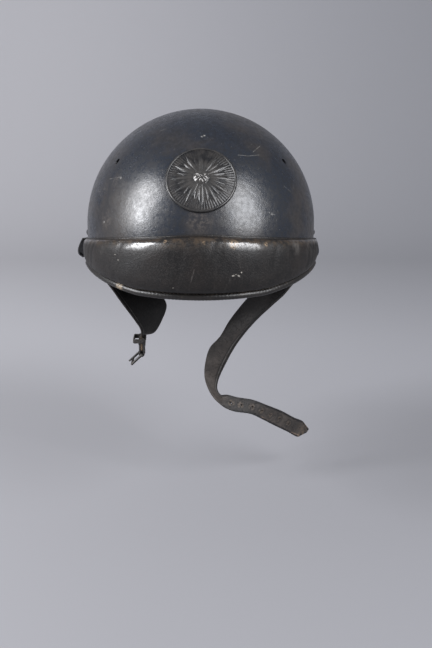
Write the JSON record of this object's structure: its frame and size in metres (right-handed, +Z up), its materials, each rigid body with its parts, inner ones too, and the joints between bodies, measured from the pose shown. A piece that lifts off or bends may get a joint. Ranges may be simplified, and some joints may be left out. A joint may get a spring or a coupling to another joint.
{
  "type": "steel helmet",
  "caption": "Smooth steel crew helmet with a padded leather brow bumper, flared neck guard, laced leather liner and a buckled chin strap.",
  "frame": {"origin": "centre of the head opening, level with the steel rim", "axes": "+Z up to the crown, -Y towards the brow, +X to the right as seen from the front"},
  "size_m": [0.2469, 0.2882, 0.3702],
  "materials": {
    "shell_paint": "worn satin paint",
    "badge_metal": "worn satin paint over stamped metal",
    "bumper_leather": "polished black leather, rubbed brown on the edges",
    "strap_leather": "aged black leather",
    "liner_leather": "brown leather",
    "felt": "grey felt",
    "stuffing": "horsehair stuffing",
    "lace_cord": "waxed cord",
    "spacer_alloy": "dull aluminium",
    "fitting_steel": "blackened steel"
  },
  "bodies": {
    "helmet": {"dome_shell": "shell_paint", "neck_guard": "shell_paint", "neck_guard_rivets": "shell_paint", "side_rivets": "shell_paint", "badge": "badge_metal", "bumper_cover": "bumper_leather", "bumper_padding": "stuffing", "rim_binding": "bumper_leather", "head_band": "liner_leather", "felt_band": "felt", "liner_tongues": "liner_leather", "liner_lace": "lace_cord", "liner_clips": "fitting_steel", "spacer_front": "spacer_alloy", "spacer_rear": "spacer_alloy", "spacer_left": "spacer_alloy", "spacer_right": "spacer_alloy", "strap_loop_left": "fitting_steel", "strap_loop_right": "fitting_steel"},
    "ear_left": {"ear_piece_left": "strap_leather", "ear_rivets_left": "fitting_steel", "buckle_tab": "strap_leather", "tab_rivet": "fitting_steel", "strap_keeper": "strap_leather"},
    "ear_right": {"ear_piece_right": "strap_leather", "ear_rivets_right": "fitting_steel"},
    "buckle": {"buckle_frame": "fitting_steel"},
    "prong": {"buckle_prong": "fitting_steel"}
  },
  "joints": [
    {"name": "ear_left_swing", "type": "hinge", "parent": "helmet", "child": "ear_left", "pos_m": [-0.10199, 0, -0.003], "axis": [0, 1, 0], "range_deg": [-12, 75]},
    {"name": "ear_right_swing", "type": "hinge", "parent": "helmet", "child": "ear_right", "pos_m": [0.10199, 0, -0.003], "axis": [0, 1, 0], "range_deg": [-75, 12]},
    {"name": "buckle_swing", "type": "hinge", "parent": "ear_left", "child": "buckle", "pos_m": [-0.061, 0.01, -0.0985], "axis": [0, 1, 0], "range_deg": [-60, 20]},
    {"name": "prong_swing", "type": "hinge", "parent": "buckle", "child": "prong", "pos_m": [-0.061, 0.01, -0.0985], "axis": [0, 1, 0], "range_deg": [0, 50]}
  ]
}
